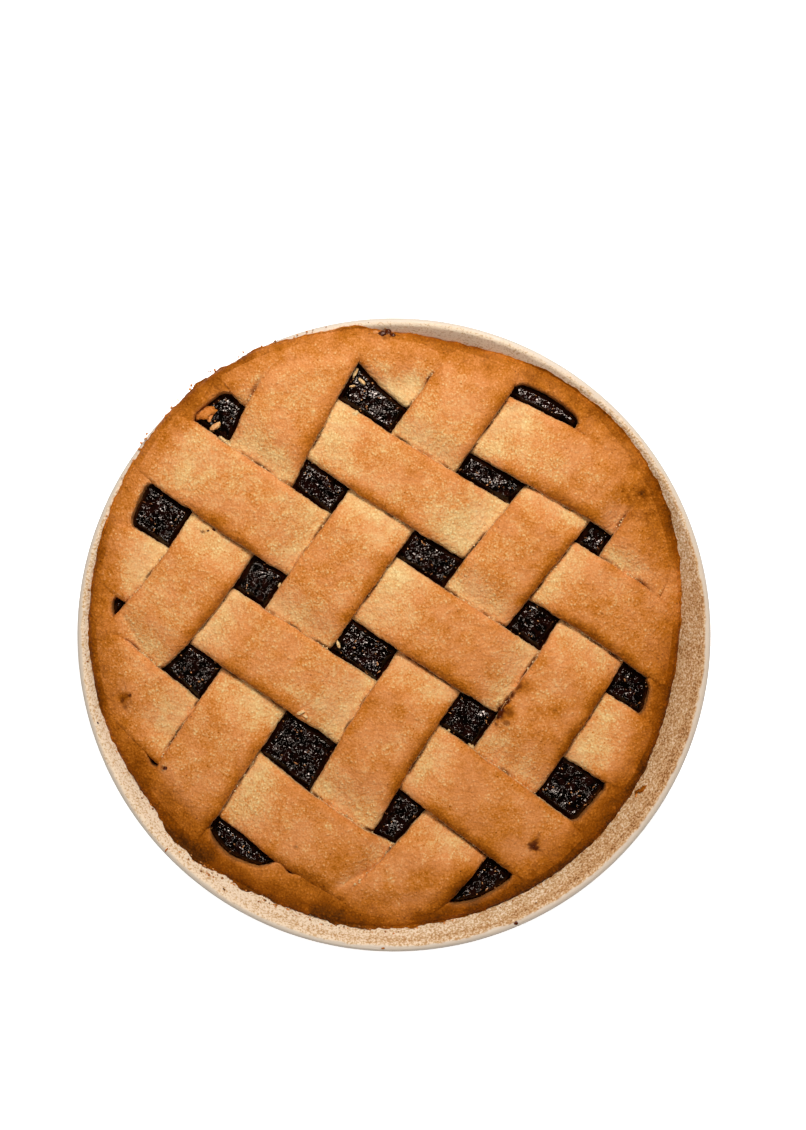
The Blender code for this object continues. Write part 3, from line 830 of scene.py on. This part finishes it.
class TART_OT_dish(Operator):
    """The flared stoneware dish: a turned profile with a half-round lip and a foot ring"""

    bl_idname = "tart.dish"
    bl_label = "Dish"

    def execute(self, context):
        steps = 900
        lip = LIP_WIDTH / 2.0
        lip_start = math.radians(141.6)
        turn = np.linspace(lip_start, 0.0, 15)
        wall = np.linspace(0.0, 1.0, 52)[:-1]
        over = np.stack((RIM_RADIUS - lip + lip * np.cos(turn),
                         DISH_HEIGHT - lip + lip * np.sin(turn)), axis=1)
        foot_of_wall = np.array((FLOOR_RADIUS, FLOOR_THICKNESS))
        inner = foot_of_wall + wall[:, None] * (over[0] - foot_of_wall)
        outer_top = np.array((RIM_RADIUS - 0.6 * MM, DISH_HEIGHT - 3.6 * MM))
        outer_low = np.array((FOOT_RADIUS + 6.5 * MM, 3.6 * MM))
        outer = outer_top + (outer_low - outer_top) * np.linspace(0.0, 1.0, 16)[:, None]
        heel = np.array(((FOOT_RADIUS + 4.6 * MM, 1.9 * MM), (FOOT_RADIUS + 2.4 * MM, 0.7 * MM),
                         (FOOT_RADIUS, 0.0), (FOOT_RADIUS - FOOT_WIDTH, 0.0),
                         (FOOT_RADIUS - FOOT_WIDTH - FOOT_RECESS, FOOT_RECESS),
                         (2.0 * MM, FOOT_RECESS)))
        floor = np.array(((2.0 * MM, FLOOR_THICKNESS), (FLOOR_RADIUS * 0.6, FLOOR_THICKNESS)))
        profile = np.concatenate((floor, inner, over, outer, heel))
        radius = np.tile(profile[:, 0], (steps, 1))
        height = np.tile(profile[:, 1], (steps, 1))
        angle = circle_angles(steps)
        points = np.stack((*plan(radius, angle), height), axis=-1)

        inside = np.zeros(len(profile))
        inside[len(floor):len(floor) + len(inner) + 8] = 1.0
        below_lip = (DISH_HEIGHT - height) / MM
        across_lip = (RIM_RADIUS - radius) / MM
        ragged = mixed_noise(points, (0.5, 6, 31), (0.5, 2, 32))
        bare = 1.2 + 0.9 * facing(angle, -50.0)
        flour = inside * smoothstep((across_lip - bare + 0.7 * ragged) / 0.7)
        line = np.exp(-((below_lip - 2.2 - 0.7 * ragged) / 0.9) ** 2) * facing(angle, -75.0)
        # the flour's colour: browner towards the right, paler towards the lower left, browner along the
        # butter line, and paler on the far side (+y) as painted light for the wall turned away from the
        # window
        toasting_and_painted_light = (0.29 + 0.27 * facing(angle, -12.0) - 0.32 * facing(angle, 90.0)
                   - 0.20 * facing(angle, 232.0) ** 2 + 0.07 * ragged + 0.20 * line)
        edge = smoothstep((radius - RIM_RADIUS + 1.0 * MM) / (0.9 * MM))
        slope = math.atan(WALL_FLARE)
        push = 0.16 * MM * flour * (mixed_noise(points, (0.5, 1.3, 33), (0.5, 0.8, 34)) + 0.4)
        radius = radius - push * math.cos(slope)
        height = height + push * math.sin(slope)
        piece = turned_piece("stoneware_dish", radius, height,
                             stoneware_material(context.scene.tart_colours),
                             {"flour": flour, "toasting_and_painted_light": toasting_and_painted_light, "edge": edge})
        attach(piece, "root")
        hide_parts("dish")
        return {"FINISHED"}


class TART_OT_pastry_case(Operator):
    """The pastry case: a warped turned shell whose browned border follows the dish's wall"""

    bl_idname = "tart.pastry_case"
    bl_label = "Pastry case"

    def execute(self, context):
        steps = 1400
        angle = circle_angles(steps)
        around = np.concatenate((*plan(EDGE_RADIUS, angle), 0.0 * angle), axis=1)
        rough_part = (smoothstep(1.0 - np.abs(np.degrees(angle) - 128.0) / 34.0)
                      + smoothstep(1.0 - np.abs(np.degrees(angle) - 240.0) / 50.0))
        ragged = mixed_noise(around, (0.45, 7, 51), (0.35, 2.6, 52), (0.18, 1.1, 53))[:, None] * MM
        edge = crust_edge(angle) + ragged * (0.8 + 1.3 * rough_part)
        inner_edge = edge_radius(angle) - border_width(angle)
        inner_edge = inner_edge - self.corner_fill(inner_edge, angle)

        # rings of the shell: radius, height and how much crumb shows, from the floor's middle
        rings = [(FLOOR_RADIUS * reach, FLOOR_THICKNESS + 0.3 * MM, 0.0) for reach in (0.02, 0.5, 0.98)]
        for reach in (0.05, 0.4, 0.7, 0.85, 0.93, 0.97, 1.0):
            radius = FLOOR_RADIUS + (edge - FLOOR_RADIUS) * reach
            rings.append((radius, seat_height(radius) + 0.25 * MM, 0.0))
        round_over = 1.5 * MM
        for share in np.linspace(0.0, 1.0, 24)[1:] ** 1.25:
            radius = edge + (inner_edge + round_over - edge) * share
            rings.append((radius, border_surface(*plan(radius, angle)), 0.0))
        crest = rings[-1][1]
        for turn in np.linspace(0.0, math.pi / 2.0, 7)[1:]:
            rings.append((inner_edge + round_over * (1.0 - math.sin(turn)),
                          crest - round_over * (1.0 - math.cos(turn)), 0.05 * turn))
        start = rings[-1][1]
        lowest = top_height(*plan(edge, angle)) - 6.5 * MM
        for share in np.linspace(0.0, 1.0, 12)[1:]:
            height = start + (lowest - start) * share
            wall_points = np.concatenate((around[:, :2], height), axis=1)
            crumbly = 0.25 * MM * noise(wall_points, 1.4 * MM, 54)[:, None]
            rings.append((inner_edge + crumbly, height, 0.12))
        jam_floor = FLOOR_THICKNESS + BASE_THICKNESS
        rings += [(CASE_CORNER_RADIUS * reach, jam_floor, 0.5) for reach in (1.0, 0.5, 0.02)]
        radius, height, cut = (np.concatenate([ring[i] + 0.0 * angle for ring in rings[::-1]], axis=1)
                               for i in range(3))
        x, y = plan(radius, angle)
        bake = border_bake(x, y) - 0.10 * cut
        piece = turned_piece("baked_case", radius, height, bpy.data.materials["Baked shortcrust"],
                             {"bake": bake, "cut": cut, "stain": jam_stains(x, y)})
        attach(piece, "root")
        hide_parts("pastry_case")
        return {"FINISHED"}

    def corner_fill(self, inner_edge, angle):
        """How far the border reaches in by a strip's edge: the round fillet of a corner."""
        x, y = plan(inner_edge, angle)
        nearest = np.full_like(angle, 2.0 * CORNER_RADIUS)
        for strip in LATTICE:
            nearest = np.minimum(nearest, strip.outside(x, y))
        return CORNER_RADIUS * (1.0 - np.maximum(nearest, 0.0) / (2.0 * CORNER_RADIUS)) ** 2


class TART_OT_lattice(Operator):
    """The woven strips: one closed band each, its section carried from border to border"""

    bl_idname = "tart.lattice"
    bl_label = "Lattice"

    def execute(self, context):
        sizes = context.scene.tart_sizes
        shortcrust_material(context.scene.tart_colours)
        for strip in LATTICE:
            self.add_strip(strip, sizes)
        return {"FINISHED"}

    def add_strip(self, strip, sizes):
        """Section: across the top, down one side, back along the underside, up the other side."""
        upper = np.sin(np.linspace(-0.5, 0.5, TOP_POINTS) * math.pi)
        lower = np.linspace(1.0, -1.0, UNDER_POINTS + 2)[1:-1]
        down = np.linspace(1.0, 0.0, SIDE_POINTS + 1)[1:]
        edge = np.ones(SIDE_POINTS)
        q = np.concatenate((upper, edge, lower, -edge))
        v = np.concatenate((np.ones(TOP_POINTS), down, np.zeros(UNDER_POINTS), down[::-1]))
        over_border = -(BORDER_WIDTH - 2.2 * MM)
        start, stop = strip.end(q, -1.0, over_border), strip.end(q, 1.0, over_border)
        rows = int(np.max(stop - start) / sizes.mesh_step)
        share = np.linspace(0.0, 1.0, rows)[:, None]
        s = start + (stop - start) * share
        across = np.broadcast_to(q, s.shape)
        layers = np.stack((s, across * 30 * MM, np.full_like(s, strip.layer)), axis=-1)
        ragged = sizes.edge_wobble * mixed_noise(layers, (1.0, 7, 61), (0.6, 2.4, 62))
        widen = 1.0 + ragged / strip.half_width(s)
        x, y = strip.place(s, across * widen)
        top, level, merged = strip_top(strip, x, y, across, sizes.strip_thickness)
        depth = sizes.strip_thickness + 0.25 * MM * (1.0 - across ** 2)
        bottom = top - depth + 1.2 * MM * smoothstep((np.abs(across) - 0.8) / 0.2)
        z = bottom + (top - bottom) * v
        side = np.where((v > 0.0) & (v < 1.0), 1.0, 0.0)
        points = np.stack((x, y, z), axis=-1)
        rough = side * 0.22 * MM * mixed_noise(points, (1.0, 1.1, 63), (0.5, 0.6, 64))
        bulge = side * 0.10 * MM * np.sin(v * math.pi) + rough
        points[..., :2] += (np.sign(across) * bulge)[..., None] * strip.across
        rim = smoothstep((np.abs(across) - 0.965) / 0.035)
        crumbly = 0.5 + 0.5 * noise(layers, 9 * MM, 65)
        cut = np.clip(side * 0.85 + rim * (1.0 - side) * 0.2 * crumbly, 0.0, 1.0) * (1.0 - merged)
        soaked = smoothstep((0.75 - v + 0.45 * noise(layers, 4 * MM, 66)) / 0.5)
        on_top = v == 1.0
        stain = np.maximum(0.85 * side * soaked * (1.0 - merged), jam_stains(x, y) * on_top)
        stain = np.maximum(stain, joint(strip, x, y) * on_top)
        bake = strip_bake(strip, x, y, across, level, merged)
        columns = len(q)
        count = rows * columns
        ends = np.array((points[0].mean(axis=0), points[-1].mean(axis=0)))
        quads = grid_quads(rows, columns, wrap_columns=True)
        caps = np.concatenate((fan(np.arange(columns)[::-1], count),
                               fan(np.arange(columns) + count - columns, count + 1)))
        if strip_is_inside_out(points):
            quads, caps = quads[:, ::-1], caps[:, ::-1]
        piece = new_piece(f"pastry_strip_{strip.name}", np.concatenate((points.reshape(-1, 3), ends)),
                          quads, caps, bpy.data.materials["Baked shortcrust"],
                          {"bake": np.append(bake, (0.5, 0.5)), "cut": cut, "stain": stain})
        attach(piece, "root")
        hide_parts(f"strip_{strip.name}")


def strip_is_inside_out(points):
    """True if the quads of a grid of points, taken in order, would face into the strip."""
    middle = len(points) // 2
    column = TOP_POINTS // 2
    along = points[middle + 1, column] - points[middle, column]
    across = points[middle, column + 1] - points[middle, column]
    return np.cross(along, across)[2] < 0.0


class TART_OT_jam(Operator):
    """The jam: a lumpy disc that swells up in the openings of the lattice"""

    bl_idname = "tart.jam"
    bl_label = "Jam"

    def execute(self, context):
        finish = jam_material(context.scene.tart_colours)
        count = 311
        a, b = np.meshgrid(np.linspace(-1.0, 1.0, count), np.linspace(-1.0, 1.0, count),
                           indexing="ij")
        wide = np.abs(a) > np.abs(b)
        safe_a, safe_b = np.where(a == 0.0, 1.0, a), np.where(b == 0.0, 1.0, b)
        reach = np.where(wide, a, b)
        angle = np.where(wide, math.pi / 4.0 * b / safe_a,
                         math.pi / 2.0 - math.pi / 4.0 * a / safe_b)
        x, y = plan(reach, angle)
        direction = np.arctan2(y, x)
        radius = np.hypot(x, y) * (edge_radius(direction) - border_width(direction) + 0.3 * MM)
        x, y = plan(radius, direction)
        z = jam_surface(x, y)
        thin = smoothstep(1.0 - open_distance(x, y) / (1.3 * MM)) * 0.8
        top = np.stack((x, y, z), axis=-1).reshape(-1, 3)
        index = np.arange(count * count).reshape(count, count)
        ring = np.concatenate((index[0, :-1], index[:-1, -1], index[-1, :0:-1], index[:0:-1, 0]))
        low = top[ring].copy()
        low[:, :2] *= 0.97
        low[:, 2] = top_height(low[:, 0], low[:, 1]) - 7.0 * MM
        floor = low.copy()
        floor[:, :2] *= (CASE_CORNER_RADIUS - 0.5 * MM) / np.hypot(low[:, 0], low[:, 1])[:, None]
        floor[:, 2] = FLOOR_THICKNESS + BASE_THICKNESS + 0.3 * MM
        first, size = len(top), len(ring)
        rings = np.concatenate((ring, first + np.arange(2 * size))).reshape(3, size)
        skirt = [np.stack((upper, np.roll(upper, -1), np.roll(under, -1), under), axis=1)
                 for upper, under in zip(rings, rings[1:])]
        points = np.concatenate((top, low, floor, [[0.0, 0.0, floor[0, 2]]]))
        quads = np.concatenate((grid_quads(count, count), *skirt))
        piece = new_piece("fig_jam", points, quads, fan(rings[2], len(points) - 1), finish,
                          {"thin": thin})
        face_out(piece)
        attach(piece, "root")
        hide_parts("jam_filling")
        return {"FINISHED"}


def face_out(piece):
    """Turn all faces of a closed mesh outwards."""
    shape = bmesh.new()
    shape.from_mesh(piece.data)
    bmesh.ops.recalc_face_normals(shape, faces=shape.faces[:])
    shape.to_mesh(piece.data)
    shape.free()


def scatter(name, centres, sizes, turns, finish, attributes, rows=4, columns=7, bumps=0.0):
    """Many small grains as one mesh: a coarse ball, scaled, turned and moved for each grain.

    The ball has a ring of points for each of its rows and a pole at each end. Bumps push each
    point in or out by a random share of its distance, so that no two grains are alike. Each
    attribute has one number for each grain.
    """
    rise = np.linspace(0.0, math.pi, rows + 1)[1:-1]
    turn = circle_angles(columns)[:, 0]
    ring = np.stack((np.outer(np.sin(rise), np.cos(turn)), np.outer(np.sin(rise), np.sin(turn)),
                     np.repeat(np.cos(rise)[:, None], columns, axis=1)), axis=-1).reshape(-1, 3)
    ball = np.concatenate((ring, ((0.0, 0.0, 1.0), (0.0, 0.0, -1.0))))
    draw = np.random.default_rng(len(centres))
    shapes = ball[None] * (1.0 + bumps * draw.uniform(-1.0, 1.0, (len(centres), len(ball), 1)))
    shapes = shapes * sizes[:, None, :]
    points = np.einsum("nij,nkj->nki", turns, shapes) + centres[:, None, :]
    last = (rows - 2) * columns
    quads = grid_quads(rows - 1, columns, wrap_columns=True)
    tips = np.concatenate((fan(np.arange(columns), len(ball) - 2),
                           fan(np.arange(columns)[::-1] + last, len(ball) - 1)))
    shift = (np.arange(len(centres)) * len(ball))[:, None, None]
    on_points = {key: np.repeat(values, len(ball)) for key, values in attributes.items()}
    return new_piece(name, points, quads[None] + shift, tips[None] + shift, finish, on_points)


def random_turns(draw, count):
    """Random rotation matrices: the orthogonal factors of random matrices."""
    turns, _ = np.linalg.qr(draw.normal(size=(count, 3, 3)))
    return turns * np.sign(np.linalg.det(turns))[:, None, None]


def turns_about(axis, angles):
    """Rotation matrices about x, y or z, given as the number 0, 1 or 2."""
    i, j = (axis + 1) % 3, (axis + 2) % 3
    turns = np.tile(np.eye(3), (len(angles), 1, 1))
    turns[:, i, i] = turns[:, j, j] = np.cos(angles)
    turns[:, j, i] = np.sin(angles)
    turns[:, i, j] = -np.sin(angles)
    return turns


def lying_turns(draw, headings, tilt):
    """Rotation matrices of things that lie flat: a heading in degrees, and a small random tilt."""
    lean = draw.normal(0.0, tilt, len(headings))
    return turns_about(2, np.radians(headings)) @ turns_about(0, lean)


class TART_OT_seeds(Operator):
    """Fig seeds: small ovals lying in the jam wherever it shows between the strips"""

    bl_idname = "tart.seeds"
    bl_label = "Seeds"

    def execute(self, context):
        sizes = context.scene.tart_sizes
        draw = np.random.default_rng(7)
        reach = np.sqrt(draw.uniform(0.0, 1.0, sizes.seed_count)) * EDGE_RADIUS
        angle = draw.uniform(0.0, 2.0 * math.pi, sizes.seed_count)
        x, y = plan(reach, angle)
        clump = noise(flat_points(x, y), 6 * MM, 71)
        shows = (open_distance(x, y) > 0.2 * MM) & (clump > -0.55)
        x, y = x[shows], y[shows]
        half = sizes.seed_length / 2.0 * (0.6 + 1.2 * draw.uniform(0.0, 1.0, len(x)) ** 2)
        z = jam_surface(x, y) + half * draw.uniform(-0.3, 0.5, len(x))
        wide = sizes.seed_length / 2.0 * draw.uniform(0.45, 0.7, len(x))
        grain = np.stack((half, wide, wide * 0.8), axis=1)
        tones = draw.uniform(0.0, 1.0, len(x)) ** 1.6
        piece = scatter("fig_seeds", np.stack((x, y, z), axis=1), grain,
                        random_turns(draw, len(x)), seed_material(context.scene.tart_colours),
                        {"tone": tones})
        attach(piece, "root")
        return {"FINISHED"}


# flakes of pastry: x, y and half-length in mm, heading in degrees, and how brown they are
FLAKES = (
    (-71.4, 83.9, 4.2, 25, 0.58), (-69.8, 82.4, 2.0, 80, 0.50), (-67.7, 79.0, 2.3, 35, 0.36),
    (-68.9, 77.4, 1.1, 0, 0.30), (-64.3, 73.7, 3.0, -42, 0.12), (-62.2, 71.6, 1.6, -60, 0.15),
    (-14.6, 99.4, 2.0, 70, 0.12), (-12.2, 96.2, 1.8, -45, 0.18), (-15.8, 94.4, 1.2, 10, 0.15),
    (-14.7, 83.9, 1.4, 35, 0.10), (-43.8, 18.9, 1.5, 110, 0.08), (-21.2, -3.8, 1.6, -70, 0.08),
    (21.2, -36.7, 1.0, 40, 0.10), (29.5, -42.7, 1.4, -50, 0.10), (25.7, -21.5, 1.0, 0, 0.15),
    (-54.4, -49.9, 1.4, 60, 0.15), (-35.5, -29.5, 1.6, 20, 0.10), (67.0, 47.5, 1.2, 30, 0.55),
    (-33.5, -31.0, 1.0, -30, 0.15), (-86.0, -81.2, 0.9, 50, 0.65), (-4.1, -118.4, 0.7, 0, 0.70),
    (95.3, -58.9, 2.2, 32, 0.80), (93.2, -60.4, 1.5, 50, 0.88), (96.4, -57.9, 1.0, 10, 0.72),
    (92.6, -61.9, 1.0, 80, 0.60), (-7.0, 114.6, 1.0, 0, 0.45),
)


def crossing_range(strip, other, q):
    """Distances along line q of a strip at which it meets and leaves another strip."""
    ends = []
    for side in (0, 1):
        s = 0.0
        for _ in range(12):
            step = way_across(strip, other, *strip.place(s, q))[side]
            s += step if side == 0 else -step
        ends.append(s)
    return ends


class TART_OT_crumbs(Operator):
    """Crumbs along the cut edges, where an upper strip lies on a lower one, and on the rim"""

    bl_idname = "tart.crumbs"
    bl_label = "Crumbs"

    def execute(self, context):
        sizes = context.scene.tart_sizes
        draw = np.random.default_rng(19)
        at_cuts = np.concatenate([self.crossing_crumbs(draw, strip, other, sizes.strip_thickness)
                                  for strip in LATTICE for other in crossed_by(strip)
                                  if lies_over(strip, other)])
        on_rim = self.rim_crumbs(draw)
        places = np.concatenate((at_cuts, on_rim))
        radius = sizes.crumb_size * draw.uniform(0.35, 1.0, len(places)) ** 1.5
        grain = radius[:, None] * draw.uniform(0.6, 1.2, (len(places), 3))
        places[:, 2] += 0.3 * radius
        bake = np.append(draw.uniform(0.1, 0.6, len(at_cuts)), draw.uniform(0.35, 0.9, len(on_rim)))
        cut = np.append(np.ones(len(at_cuts)), np.full(len(on_rim), 0.1))
        piece = scatter("pastry_crumbs", places, grain, random_turns(draw, len(places)),
                        bpy.data.materials["Baked shortcrust"], {"bake": bake, "cut": cut}, bumps=0.25)
        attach(piece, "root")
        return {"FINISHED"}

    def crossing_crumbs(self, draw, strip, other, thickness):
        """Places of crumbs on the lower strip, along both edges of the strip that crosses it."""
        places = []
        for q in (-1.0, 1.0):
            enter, leave = crossing_range(strip, other, q)
            count = 26
            s = draw.uniform(enter, leave, count)
            beyond = draw.normal(0.0, 0.35, count) * MM
            x, y = strip.place(s, q + np.sign(q) * beyond / strip.half_width(s))
            under, _, _ = strip_top(other, x, y, other.share_across(x, y), thickness)
            keep = (border_gap(x, y) > 5.0 * MM) & (other.past_hidden_end(x, y) < 0.0)
            places.append(np.stack((x, y, under), axis=1)[keep])
        return np.concatenate(places)

    def rim_crumbs(self, draw):
        """Places of crumbs along the tart's outer edge, most where the edge is ragged."""
        angle = np.radians(np.concatenate((draw.normal(128.0, 16.0, 90), draw.normal(245.0, 24.0, 200))))
        radius = crust_edge(angle) + draw.normal(0.4, 0.6, len(angle)) * MM
        x, y = plan(radius, angle)
        return np.stack((x, y, seat_height(radius) + 0.2 * MM), axis=1)


class TART_OT_flakes(Operator):
    """Loose flakes of pastry that fell into the openings and onto the strips"""

    bl_idname = "tart.flakes"
    bl_label = "Flakes"

    def execute(self, context):
        draw = np.random.default_rng(5)
        x, y, half, heading, bake = np.array(FLAKES).T
        x, y, half = x * MM, y * MM, half * MM
        z = upper_surface(x, y, context.scene.tart_sizes.strip_thickness) + 0.15 * half
        shape = np.stack((half, half * draw.uniform(0.35, 0.6, len(x)), half * 0.26), axis=1)
        piece = scatter("pastry_flakes", np.stack((x, y, z), axis=1), shape,
                        lying_turns(draw, heading, 0.25), bpy.data.materials["Baked shortcrust"],
                        {"bake": bake, "cut": np.clip(0.7 - 1.3 * bake, 0.0, 1.0)},
                        rows=9, columns=16, bumps=0.26)
        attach(piece, "root")
        return {"FINISHED"}


class TART_OT_jam_drops(Operator):
    """Drops of jam that bubbled up and baked onto the crust and the dish's wall"""

    bl_idname = "tart.jam_drops"
    bl_label = "Jam drops"

    def execute(self, context):
        draw = np.random.default_rng(11)
        x, y, long, wide, heading = np.array(JAM_DROPS).T
        x, y = x * MM, y * MM
        z = upper_surface(x, y, context.scene.tart_sizes.strip_thickness) - 0.1 * wide * MM
        shape = np.stack((long, wide, 0.4 * wide), axis=1) * MM
        piece = scatter("baked_jam_drops", np.stack((x, y, z), axis=1), shape,
                        lying_turns(draw, heading, 0.12), bpy.data.materials["Baked fig jam"],
                        {"thin": draw.uniform(0.7, 1.0, len(x))}, rows=9, columns=18, bumps=0.2)
        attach(piece, "root")
        return {"FINISHED"}


# lamps of the stage: place and size in metres, and share of the light that falls on the tart
LAMPS = (
    ("Window", (0.12, 0.47, 0.68), 0.22, 0.64),
    ("Lamp", (-0.24, 0.36, 0.72), 0.08, 0.12),
    ("Door", (-0.08, -0.46, 0.62), 0.14, 0.13),
    ("Ceiling", (0.085, 0.065, 0.90), 0.05, 0.03),
)


class TART_OT_stage(Operator):
    """White paper floor, light from a far window, a room that is dark overhead, and the camera"""

    bl_idname = "tart.stage"
    bl_label = "Stage"

    def execute(self, context):
        scene = context.scene
        sizes = scene.tart_sizes
        made, tree, shader = new_material("Seamless paper")
        white = (1.0, 1.0, 1.0, 1.0)
        set_sockets(tree, shader, {"Base Color": scene.tart_colours.floor, "Roughness": 0.9,
                                   "Emission Color": white, "Emission Strength": 0.7})
        half = 4.0
        corners = ((-half, -half, 0.0), (half, -half, 0.0), (half, half, 0.0), (-half, half, 0.0))
        floor = new_piece("floor", corners, ((0, 1, 2, 3),), (), made, {})

        for name, place, size, share in LAMPS:
            lamp = bpy.data.lights.new(name, "AREA")
            lamp.shape = "SQUARE"
            lamp.size = size
            distance = math.dist(place, (0.0, 0.0, 0.0))
            lamp.energy = share * sizes.exposure * math.pi ** 2 * distance ** 3 / place[2]
            holder = bpy.data.objects.new(name, lamp)
            holder.location = place
            holder.rotation_euler = (math.acos(place[2] / distance), 0.0,
                                     math.atan2(place[1], place[0]) + math.pi / 2.0)
            scene.collection.objects.link(holder)

        world = bpy.data.worlds.new("Room")
        world.use_nodes = True
        tree = world.node_tree
        towards = add_node(tree, "TexCoord", {}, "Generated")
        upwards = add_node(tree, "SeparateXYZ", {"Vector": towards}, "Z")
        glow = remap(tree, upwards, 0.1, 0.4, 0.60 * sizes.exposure, 0.01 * sizes.exposure)
        set_sockets(tree, tree.nodes["Background"], {"Color": white, "Strength": glow})
        scene.world = world
        scene.view_settings.view_transform = "Standard"

        camera = bpy.data.cameras.new("Camera")
        pixel = 0.378 * MM
        frame_width, frame_height = 806, 1130
        dish_pixel_x, dish_pixel_y = 394.0, 635.0
        aim_x = (frame_width / 2.0 - dish_pixel_x) * pixel
        aim_y = (dish_pixel_y - frame_height / 2.0) * pixel
        camera.lens = camera.sensor_width * (sizes.camera_height - DISH_HEIGHT) / (
            frame_height * pixel)
        camera.clip_end = 20.0
        eye = bpy.data.objects.new("Camera", camera)
        eye.location = (aim_x, aim_y, sizes.camera_height)
        scene.collection.objects.link(eye)
        scene.camera = eye
        return {"FINISHED"}


class TART_PT_panel(Panel):
    """Buttons for the pieces, in the order in which they are made"""

    bl_idname = "TART_PT_panel"
    bl_label = "Lattice jam tart"
    bl_space_type = "VIEW_3D"
    bl_region_type = "UI"
    bl_category = "Tart"

    def draw(self, context):
        for operator in PIECES:
            self.layout.operator(operator.bl_idname)
        for group in (context.scene.tart_sizes, context.scene.tart_colours):
            box = self.layout.box()
            for key in group.bl_rna.properties.keys():
                if key not in ("rna_type", "name"):
                    box.prop(group, key)


PIECES = (TART_OT_dish, TART_OT_lattice, TART_OT_pastry_case, TART_OT_jam, TART_OT_seeds,
          TART_OT_crumbs, TART_OT_flakes, TART_OT_jam_drops, TART_OT_stage)
CLASSES = (TartSizes, TartColours, *PIECES, TART_PT_panel)


def register():
    for item in CLASSES:
        bpy.utils.register_class(item)
    bpy.types.Scene.tart_sizes = PointerProperty(type=TartSizes)
    bpy.types.Scene.tart_colours = PointerProperty(type=TartColours)


def unregister():
    del bpy.types.Scene.tart_colours
    del bpy.types.Scene.tart_sizes
    for item in reversed(CLASSES):
        bpy.utils.unregister_class(item)


def main():
    register()
    bpy.ops.tart.dish()
    bpy.ops.tart.lattice()
    bpy.ops.tart.pastry_case()
    bpy.ops.tart.jam()
    bpy.ops.tart.seeds()
    bpy.ops.tart.crumbs()
    bpy.ops.tart.flakes()
    bpy.ops.tart.jam_drops()
    bpy.ops.tart.stage()


if __name__ == "__main__":
    main()
